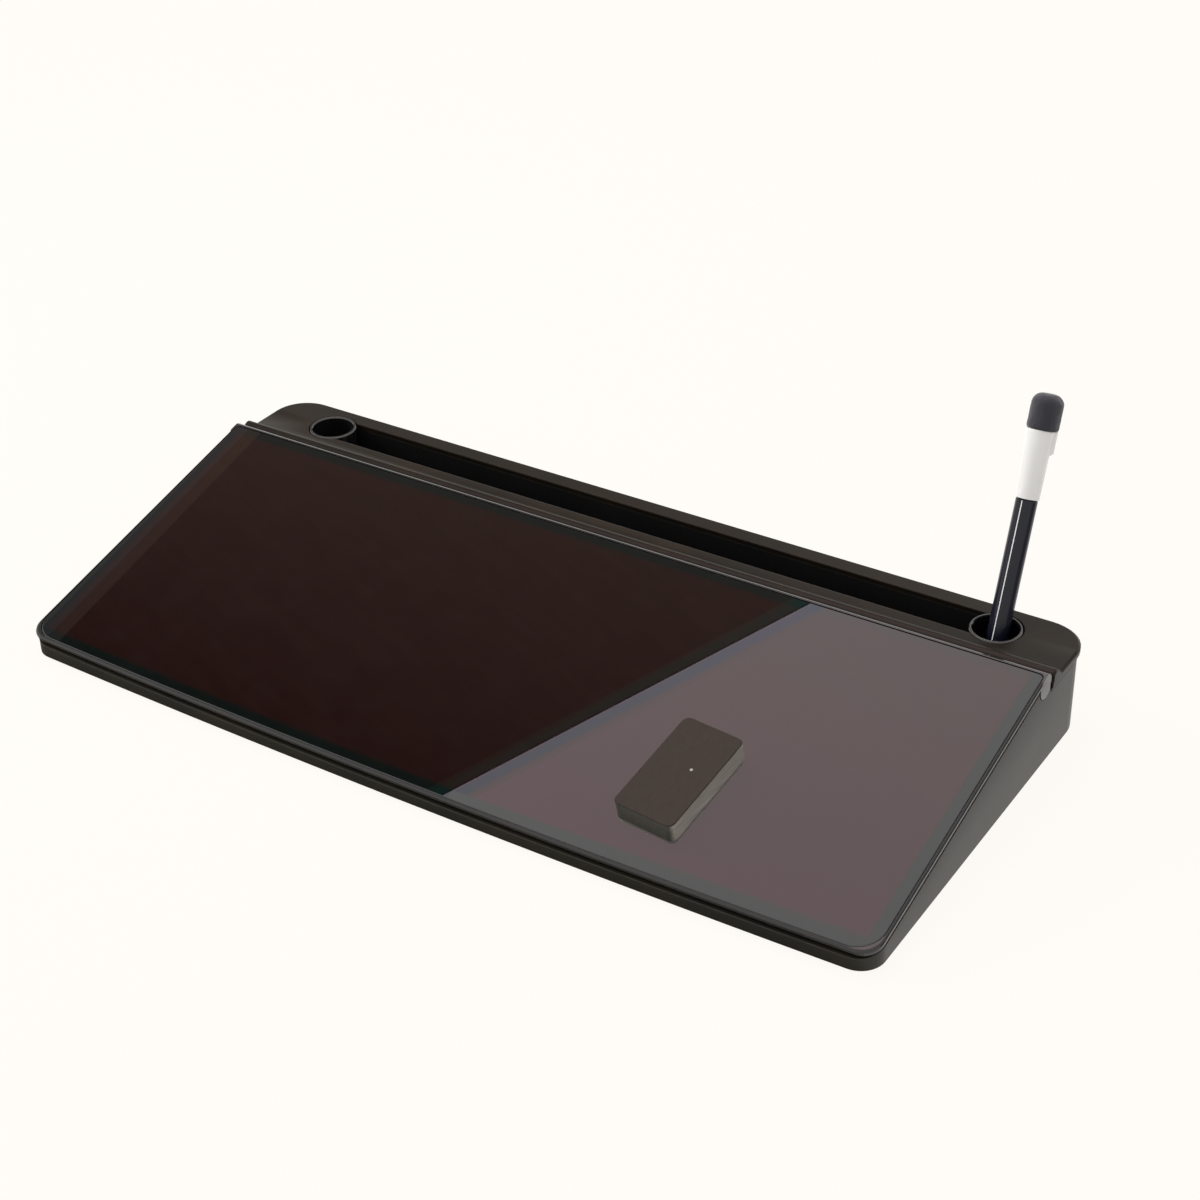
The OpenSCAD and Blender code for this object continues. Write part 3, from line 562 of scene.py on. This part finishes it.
# the eraser's pale sides are partly its own colour and partly painted light from the right; its dark ends
# are painted shade
finishes["eraserBlock"] = pressedBlock("eraserBlock", {
    "colour": (0.012, 0.0085, 0.005), "shade": (0.016, 0.012, 0.0068),
    "side": (0.26, 0.235, 0.21), "streakWithPaintedLight": (0.4, 0.37, 0.335),
    "end": (0.05, 0.049, 0.038), "endStreakWithPaintedShade": (0.085, 0.083, 0.068),
    "wearAndHighlightColour": (0.08, 0.075, 0.065), "wearAndHighlight": 0.15, "rough": (0.5, 0.65), "ior": 1.4,
    "grainScale": 2200, "grainDepth": 0.00003, "edgeRadius": 0.0006,
    "turn": math.radians(-layout["eraserTurn"]), "lengthways": eraserFrame.to_3x3() @ Vector((0, 1, 0))})
finishes["gate"] = mouldedPlastic("gatePlastic", {**looks["capShell"], "colour": (0.36, 0.36, 0.31),
                                                  "shade": (0.3, 0.3, 0.26)})
finishes["film"] = mouldedPlastic("backingFilm", {**looks["trough"], "rough": (0.2, 0.3)})
finishes["tape"] = mouldedPlastic("foamTape", {**looks["rubber"], "colour": (0.1, 0.1, 0.1),
                                               "shade": (0.13, 0.13, 0.13)})
finishes["steel"] = metal("platedSteel", {"colour": (0.52, 0.53, 0.55), "shade": (0.6, 0.6, 0.61),
                                          "rough": (0.25, 0.4), "grainScale": 900})
finishes["nickel"] = metal("nickelPlate", {"colour": (0.62, 0.6, 0.57), "shade": (0.7, 0.68, 0.65),
                                           "rough": (0.12, 0.2), "grainScale": 900})
finishes["feltGrey"] = feltCloth("eraserFelt", {
    "colour": (0.08, 0.075, 0.064), "shade": (0.15, 0.14, 0.122), "clump": (0.11, 0.104, 0.09),
    "fibreScale": 1400})
finishes["feltDark"] = feltCloth("tipFelt", {
    "colour": (0.013, 0.013, 0.02), "shade": (0.03, 0.029, 0.038), "clump": (0.02, 0.02, 0.028),
    "fibreScale": 1600})
finishes["fibre"] = feltCloth("inkFibre", {
    "colour": (0.7, 0.7, 0.68), "shade": (0.8, 0.8, 0.78), "clump": (0.75, 0.75, 0.73),
    "fibreScale": 2400})

nodeFinish = {
    "base_tray": "case", "deck_cover": "deck", "pen_channel": "trough", "pen_cup_left": "cup",
    "pen_cup_right": "cup", "rubber_feet": "rubber", "case_screws": "steel", "catch_plates": "steel",
    "lid_frame": "lid", "glass_board": "glass", "black_backing": "film", "steel_sheet": "steel",
    "foam_tape": "tape", "hinge_rod_left": "steel", "hinge_rod_right": "steel", "lid_magnets": "nickel",
    "lid_bumpers": "rubber", "eraser_body": "eraserBlock", "eraser_magnets": "nickel",
    "marker_barrel": "markerShell", "marker_end_plug": "markerShell", "ink_reservoir": "fibre",
    "marker_nose": "capShell", "marker_nib": "fibre", "marker_cap": "capShell", "cap_magnet": "nickel",
}

for nodeName, finishName in nodeFinish.items():
    nodes[nodeName].data.materials.clear()
    nodes[nodeName].data.materials.append(finishes[finishName])
print("finishes placed on", len(nodeFinish), "parts")

# Felt pieces, in place of the plain solids


def meshObject(name, build, place, finish):
    mesh = bpy.data.meshes.new(name)
    shape = bmesh.new()
    build(shape)
    bmesh.ops.recalc_face_normals(shape, faces=shape.faces)
    shape.to_mesh(mesh)
    shape.free()
    mesh.transform(place)
    for polygon in mesh.polygons:
        polygon.use_smooth = True
    made = bpy.data.objects.new(name, mesh)
    bpy.context.scene.collection.objects.link(made)
    mesh.materials.append(finish)
    return made


def loftRings(shape, rings):
    # closed skin through rings of equal count, with a point at each end
    rows = [[shape.verts.new(p) for p in ring] for ring in rings]
    for lower, upper in zip(rows, rows[1:]):
        for i in range(len(lower)):
            j = (i + 1) % len(lower)
            shape.faces.new((lower[i], lower[j], upper[j], upper[i]))
    for row in (rows[0], rows[-1]):
        middle = shape.verts.new(sum((v.co for v in row), Vector()) / len(row))
        for i in range(len(row)):
            shape.faces.new((row[i], row[(i + 1) % len(row)], middle))


eraserFeltShape = {
    "inset": 0.0005,
    "corner": 0.0026,
    "steps": 10,           # along each corner
    "points": 220,         # around the outline
    "round": 0.0005,
    "fuzz": 0.00012,
    "fuzzScale": 1600,
}


def roundedRect(width, length, corner, steps):
    points = []
    for cx, cy, start in ((1, 1, 0), (-1, 1, 90), (-1, -1, 180), (1, -1, 270)):
        for i in range(steps + 1):
            a = math.radians(start + 90 * i / steps)
            points.append((cx * (width / 2 - corner) + corner * math.cos(a),
                           cy * (length / 2 - corner) + corner * math.sin(a)))
    return points


def resample(points, count):
    # even steps along a closed outline
    closed = [Vector(p) for p in points] + [Vector(points[0])]
    runs = [0.0]
    for a, b in zip(closed, closed[1:]):
        runs.append(runs[-1] + (b - a).length)
    even, k = [], 0
    for i in range(count):
        want = runs[-1] * i / count
        while runs[k + 1] < want:
            k += 1
        share = (want - runs[k]) / max(runs[k + 1] - runs[k], 1e-12)
        even.append(closed[k].lerp(closed[k + 1], share))
    return even


def buildEraserFelt(shape):
    look = eraserFeltShape
    width, length = (v - 2 * look["inset"] for v in layout["eraserSize"])
    outline = resample(roundedRect(width, length, look["corner"], look["steps"]), look["points"])
    depth, edge = layout["feltDepth"], look["round"]
    levels = [(edge * (1 - math.sin(math.radians(a))), edge * (1 - math.cos(math.radians(a))))
              for a in (0, 30, 60, 90)]
    rows = [(inset, low) for inset, low in levels]
    rows += [(0, depth * share) for share in (0.35, 0.5, 0.65, 0.8)]
    rows += [(inset * 0.6, depth - low) for inset, low in reversed(levels)]
    rings = []
    for inset, z in rows:
        ring = []
        for p in outline:
            out = p * (1 - inset * 2 / max(width, length)) if inset else p.copy()
            wool = noise.noise(Vector((p.x, p.y, z)) * look["fuzzScale"]) * look["fuzz"]
            direction = p.normalized()
            ring.append(Vector((out.x - direction.x * (inset * 0.5 + abs(wool)),
                                out.y - direction.y * (inset * 0.5 + abs(wool)), z)))
        rings.append(ring)
    loftRings(shape, rings)


tipFeltShape = {
    "radius": 0.00645,
    "stem": 0.0025,        # the part in the cap
    "stemDepth": 0.0022,
    "lip": 0.0006,
    "dome": 0.0042,
    "capTop": 0.0142,      # down from the top of the marker
    "around": 96,
    "levels": 14,
    "fuzz": 0.00018,
    "fuzzScales": (1500, 380),
}


def buildTipFelt(shape):
    look = tipFeltShape
    top = layout["markerLength"]
    base = top - look["capTop"]
    radius, dome, lip, levels = look["radius"], look["dome"], look["lip"], look["levels"]
    profile = [(look["stem"], base - look["stemDepth"]), (look["stem"], base),
               (radius - 0.0005, base + 0.0001), (radius - 0.0001, base + lip)]
    profile += [(radius, base + lip + (top - dome - base - lip) * k / levels) for k in range(1, levels + 1)]
    profile += [(radius - dome + dome * math.cos(math.radians(a)),
                 top - dome + dome * math.sin(math.radians(a))) for a in range(6, 90, 6)]
    profile += [((radius - dome) * share, top) for share in (0.9, 0.6, 0.3)]
    rings = []
    for r, z in profile:
        ring = []
        for i in range(look["around"]):
            a = math.tau * i / look["around"]
            p = Vector((r * math.cos(a), r * math.sin(a), z))
            wool = sum(abs(noise.noise(p * scale)) * look["fuzz"] for scale in look["fuzzScales"])
            shrink = max(r - (wool if z > base else 0), 0.0001) / max(r, 0.0001)
            ring.append(Vector((p.x * shrink, p.y * shrink, z - wool * (z > top - dome))))
        rings.append(ring)
    loftRings(shape, rings)


eraserFelt = meshObject("eraserFeltPad", buildEraserFelt, eraserFrame, finishes["feltGrey"])
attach(eraserFelt, "eraser")
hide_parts("eraser_felt")

tipFelt = meshObject("capFeltTip", buildTipFelt, markerFrame, finishes["feltDark"])
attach(tipFelt, "cap")
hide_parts("cap_felt")
print("felt pieces made")

# A thin white line along the marker's barrel, and the moulding gate on top of the eraser
smallMarks = {
    "lineTurn": 173.0,    # degrees around the barrel
    "lineWidth": 0.00042,
    "lineFrom": 0.0022,
    "lineStop": 0.0008,   # short of the cap
    "lineProud": 0.00001,
    "lineSteps": 40,
    "lineWobble": 0.000012,
    "gatePlace": (0.004, 0.0026),
    "gateRadius": 0.00066,
    "gateRise": 0.00012,
    "eraserHeight": 0.011,
}


def buildBarrelLine(shape):
    look = smallMarks
    radius = layout["markerRadius"] + look["lineProud"]
    half = look["lineWidth"] / 2 / radius
    ends = (look["lineFrom"], layout["capMouth"] - look["lineStop"])
    rows = []
    for k in range(look["lineSteps"] + 1):
        z = ends[0] + (ends[1] - ends[0]) * k / look["lineSteps"]
        edge = noise.noise(Vector((0, 0, z * 900))) * look["lineWobble"] / radius
        turns = [math.radians(look["lineTurn"]) + half * share + edge for share in (-1, -0.4, 0.4, 1)]
        rows.append([shape.verts.new((radius * math.cos(a), radius * math.sin(a), z)) for a in turns])
    for lower, upper in zip(rows, rows[1:]):
        for i in range(3):
            shape.faces.new((lower[i], lower[i + 1], upper[i + 1], upper[i]))


def buildGateMark(shape):
    look = smallMarks
    top = look["eraserHeight"] - layout["eraserGap"] + look["gateRise"]
    middle, points = look["gatePlace"], 28
    rings = []
    for share, lift in ((1, -look["gateRise"]), (0.96, -0.00002), (0.8, 0.00001), (0.45, 0.00002)):
        ring = []
        for i in range(points):
            a = math.tau * i / points
            ring.append(Vector((middle[0] + look["gateRadius"] * share * math.cos(a),
                                middle[1] + look["gateRadius"] * share * math.sin(a), top + lift)))
        rings.append(ring)
    loftRings(shape, rings)


barrelLine = meshObject("barrelLine", buildBarrelLine, markerFrame, finishes["capShell"])
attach(barrelLine, "marker")
gateMark = meshObject("eraserGateMark", buildGateMark, eraserFrame, finishes["gate"])
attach(gateMark, "eraser")
# The eraser pieces don't show in reflections
for piece in (eraserFelt, gateMark, nodes["eraser_body"], nodes["eraser_magnets"]):
    piece.visible_glossy = False
print("line and gate mark made")

# Smooth shading with crisp edges on the solids

crispFrom = 22    # degrees between two faces

for shown in nodes.values():
    for polygon in shown.data.polygons:
        polygon.use_smooth = True
    split = shown.modifiers.new("keepEdges", "EDGE_SPLIT")
    split.split_angle = math.radians(crispFrom)

# Studio: pale floor, soft light, and cards that show only in reflections

studio = {
    "floorColour": (0.68, 0.66, 0.63),
    "floorRough": 0.8,
    "floorSize": 14,
    "nearGlow": 0.95,       # share of plain backdrop in what the camera sees of the floor, near the object
    "fadeFrom": 0.25,       # and how far out that share turns to all of it
    "fadeTo": 1.1,
    "backdropColour": (1, 0.977, 0.936),
    "worldStrength": 0.55,
    "lamps": [
        {"name": "overheadSoftbox", "place": (-0.3, 0.2, 1.9), "aim": (0, 0.1, 0), "size": (1.6, 1.2),
         "power": 24, "mirrored": False},
        {"name": "rightFill", "place": (1.7, 0.1, 0.9), "aim": (0.1, 0, 0.03), "size": (1.0, 1.0),
         "power": 5, "mirrored": False},
        {"name": "leftFill", "place": (-1.7, -0.3, 0.9), "aim": (0.1, 0, 0.03), "size": (1.2, 0.8),
         "power": 32, "mirrored": False},
    ],
}


def makeFloor():
    material, tree, shader = newMaterial("paleFloor")
    shader.inputs["Base Color"].default_value = (*studio["floorColour"], 1)
    shader.inputs["Roughness"].default_value = studio["floorRough"]
    where = addNode(tree, "ShaderNodeTexCoord", (-600, 600))
    reach = addNode(tree, "ShaderNodeVectorMath", (-400, 600), operation="LENGTH")
    tree.links.new(where.outputs["Object"], reach.inputs[0])
    fade = addNode(tree, "ShaderNodeMapRange", (-200, 600), interpolation_type="SMOOTHSTEP")
    fade.inputs["From Min"].default_value = studio["fadeFrom"]
    fade.inputs["From Max"].default_value = studio["fadeTo"]
    fade.inputs["To Min"].default_value = studio["nearGlow"]
    tree.links.new(reach.outputs["Value"], fade.inputs["Value"])
    path = addNode(tree, "ShaderNodeLightPath", (-200, 400))
    seen = addTo(tree, (200, 500), path.outputs["Is Camera Ray"], fade.outputs["Result"], "MULTIPLY")
    seen = addTo(tree, (300, 400), seen, path.outputs["Is Glossy Ray"])
    share = addTo(tree, (400, 400), seen, path.outputs["Is Transmission Ray"])
    glow = addNode(tree, "ShaderNodeEmission", (600, 200))
    glow.inputs["Color"].default_value = (*studio["backdropColour"], 1)
    mix = addNode(tree, "ShaderNodeMixShader", (900, 200))
    out = [n for n in tree.nodes if n.type == "OUTPUT_MATERIAL"][0]
    tree.links.new(share, mix.inputs[0])
    tree.links.new(shader.outputs["BSDF"], mix.inputs[1])
    tree.links.new(glow.outputs["Emission"], mix.inputs[2])
    tree.links.new(mix.outputs["Shader"], out.inputs["Surface"])
    mesh = bpy.data.meshes.new("studioFloor")
    shape = bmesh.new()
    bmesh.ops.create_grid(shape, x_segments=2, y_segments=2, size=studio["floorSize"])
    shape.to_mesh(mesh)
    shape.free()
    mesh.materials.append(material)
    floor = bpy.data.objects.new("studioFloor", mesh)
    bpy.context.scene.collection.objects.link(floor)


def makeCard(name, corners, colour, farColour=None, fade=(0, 1)):
    # a card that only shows in reflections, in one colour or fading to another along Y
    material, tree, shader = newMaterial(name)
    glow = addNode(tree, "ShaderNodeEmission", (600, 200))
    glow.inputs["Color"].default_value = (*colour, 1)
    if farColour:
        where = addNode(tree, "ShaderNodeTexCoord", (-600, 200))
        parts = addNode(tree, "ShaderNodeSeparateXYZ", (-400, 200))
        step = addNode(tree, "ShaderNodeMapRange", (-200, 200))
        step.inputs["From Min"].default_value = fade[0] + frontChord
        step.inputs["From Max"].default_value = fade[1] + frontChord
        tree.links.new(where.outputs["Object"], parts.inputs["Vector"])
        tree.links.new(parts.outputs["Y"], step.inputs["Value"])
        tree.links.new(mixColour(tree, (200, 200), step.outputs["Result"], colour, farColour),
                       glow.inputs["Color"])
    out = [n for n in tree.nodes if n.type == "OUTPUT_MATERIAL"][0]
    tree.links.new(glow.outputs["Emission"], out.inputs["Surface"])
    mesh = bpy.data.meshes.new(name)
    mesh.from_pydata([(x, y + frontChord, z) for x, y, z in corners], [], [tuple(range(len(corners)))])
    mesh.materials.append(material)
    card = bpy.data.objects.new(name, mesh)
    bpy.context.scene.collection.objects.link(card)
    card.visible_camera = False
    card.visible_diffuse = False
    card.visible_shadow = False


def makeLamps():
    for setup in studio["lamps"]:
        data = bpy.data.lights.new(setup["name"], "AREA")
        data.shape = "RECTANGLE"
        data.size, data.size_y = setup["size"]
        data.energy = setup["power"]
        lamp = bpy.data.objects.new(setup["name"], data)
        lamp.location = setup["place"]
        aim = Vector(setup["aim"]) - Vector(setup["place"])
        lamp.rotation_euler = aim.to_track_quat("-Z", "Y").to_euler()
        lamp.visible_glossy = setup["mirrored"]
        bpy.context.scene.collection.objects.link(lamp)


def makeWorld():
    world = bpy.data.worlds.new("studioWorld")
    bpy.context.scene.world = world
    world.use_nodes = True
    tree = world.node_tree
    tree.nodes.clear()
    path = addNode(tree, "ShaderNodeLightPath", (-600, 300))
    seen = addTo(tree, (-400, 300), path.outputs["Is Camera Ray"], path.outputs["Is Glossy Ray"])
    seen = addTo(tree, (-200, 300), seen, path.outputs["Is Transmission Ray"])
    lit = addNode(tree, "ShaderNodeBackground", (0, 0))
    lit.inputs["Color"].default_value = (1, 1, 1, 1)
    lit.inputs["Strength"].default_value = studio["worldStrength"]
    white = addNode(tree, "ShaderNodeBackground", (0, -150))
    white.inputs["Color"].default_value = (*studio["backdropColour"], 1)
    white.inputs["Strength"].default_value = 1
    mix = addNode(tree, "ShaderNodeMixShader", (250, 100))
    out = addNode(tree, "ShaderNodeOutputWorld", (450, 100))
    tree.links.new(seen, mix.inputs[0])
    tree.links.new(lit.outputs["Background"], mix.inputs[1])
    tree.links.new(white.outputs["Background"], mix.inputs[2])
    tree.links.new(mix.outputs["Shader"], out.inputs["Surface"])


makeFloor()
makeLamps()
makeWorld()

# Reflection cards over the board, from the case's front chord: a dark one on the left, a pale one on the
# right, strips on both sides of the line where they meet, strips past the board's left end, and rims
cards = {
    "height": 1.5,
    "endDrop": 0.002,       # how much lower the end strips hang
    "rimDrop": 0.004,       # how much lower the rims hang
    "overrun": 0.4,         # of each strip past the ends of its line
    "fade": (0.5, 0.88),    # from the board's front edge to its back edge, as mirrored there
    "line": [(-1.12, 0.196), (-0.262, 1.3)],
    "strips": [    # from and to across the line, and the colours at the front and at the back
        (-2.6, -0.0185, (0.0, 0.0, 0.0), (0.2, 0.16, 0.14)),
        (-0.0185, -0.0125, (0.03, 0.07, 0.05), (0.2, 0.25, 0.2)),
        (-0.0125, -0.003, (0.02, 0.11, 0.09), (0.12, 0.28, 0.24)),
        (-0.003, 0.0, (0, 0.03, 0.06), (0.05, 0.15, 0.17)),
        (0.0, 0.0016, (2.1, 1.95, 2.2), (2.4, 2.2, 2.5)),
        (0.0016, 0.004, (1.7, 1.6, 2.0), (2.0, 1.88, 2.3)),
        (0.004, 0.0125, (1.52, 1.76, 2.05), (1.9, 1.92, 2.35)),
        (0.0125, 0.0165, (1.75, 1.74, 1.84), (2.1, 1.98, 2.15)),
        (0.0165, 0.023, (2.15, 1.8, 1.85), (2.35, 2.0, 2.05)),
        (0.023, 1.4, (2.42, 1.87, 2.0), (2.38, 2.0, 2.02)),
    ],
    "endLine": [(-1.543, 0.531), (-1.467, 0.875)],
    "endStrips": [
        (-0.4, 0.004, (0.7, 0.66, 0.6), (1.1, 1.0, 0.9)),
        (0.004, 0.012, (0.36, 0.34, 0.33), (0.62, 0.5, 0.48)),
        (0.012, 0.03, (0.2, 0.22, 0.24), (0.42, 0.33, 0.33)),
        (0.03, 0.05, (0.16, 0.13, 0.11), (0.36, 0.26, 0.2)),
    ],
    "rims": [    # for the board's front and right edges, where it mirrors other tones
        [(-0.875, 0.49), (-0.32, 0.504), (-0.32, 0.5255), (-0.872, 0.511)],
        [(-0.32, 0.504), (-0.285, 0.9), (-0.3035, 0.9), (-0.3405, 0.525)],
    ],
    "rimColour": (2.02, 2.02, 1.98),
}


def lineCard(name, line, reach, colours, height):
    # a quad along a line, carried on well past both of its ends
    first, last = Vector(line[0]), Vector(line[1])
    along = (last - first).normalized()
    side = Vector((along.y, -along.x))
    start, end = first - along * cards["overrun"], last + along * cards["overrun"]
    near, far = side * reach[0], side * reach[1]
    corners = [start + near, end + near, end + far, start + far]
    makeCard(name, [(c.x, c.y, height) for c in corners], *colours, fade=cards["fade"])


for index, (near, far, *colours) in enumerate(cards["strips"]):
    lineCard("cardStrip%d" % index, cards["line"], (near, far), colours, cards["height"])
for index, (near, far, *colours) in enumerate(cards["endStrips"]):
    level = cards["height"] - cards["endDrop"]
    lineCard("endStrip%d" % index, cards["endLine"], (near, far), colours, level)
for index, corners in enumerate(cards["rims"]):
    level = cards["height"] - cards["rimDrop"]
    makeCard("rimCard%d" % index, [(x, y, level) for x, y in corners], cards["rimColour"])

# Dark cards on the floor: a row of them darkens the case's front wall but not the lid's edge above it, and
# one darkens the lid's right edge but not the wall below it
flags = {
    "level": 0.0006,
    "front": {
        "reach": 0.205, "depth": 0.0074, "bow": 0.0032, "back": 0.02, "steps": 20,
        "parts": [    # from, to and colour along X
            (-0.205, 0.17, (0.21, 0.205, 0.19)), (0.17, 0.184, (0.26, 0.255, 0.235)),
            (0.184, 0.1905, (0.32, 0.31, 0.29)), (0.1905, 0.1945, (0.42, 0.41, 0.38)),
            (0.1945, 0.198, (0.62, 0.61, 0.58)),
        ],
    },
    "right": {"from": (0.2065, 0.02), "to": (0.2229, 0.197), "outside": (1.2, 1.097),
              "colour": (0.25, 0.24, 0.25)},
}


def makeFlags(setup):
    front, right, level = setup["front"], setup["right"], setup["level"]
    for index, (first, last, colour) in enumerate(front["parts"]):
        edge = [(x, -front["depth"] - front["bow"] * (1 - (x / front["reach"]) ** 2), level)
                for x in (first + (last - first) * i / front["steps"] for i in range(front["steps"] + 1))]
        back = [(last, front["back"], level), (first, front["back"], level)]
        makeCard("frontFlag%d" % index, edge + back, colour)
    near, far, outside = right["from"], right["to"], right["outside"]
    makeCard("rightFlag", [(*near, level), (outside[0], near[1], level), (*outside, level), (*far, level)],
             right["colour"])


makeFlags(flags)
print("studio made")
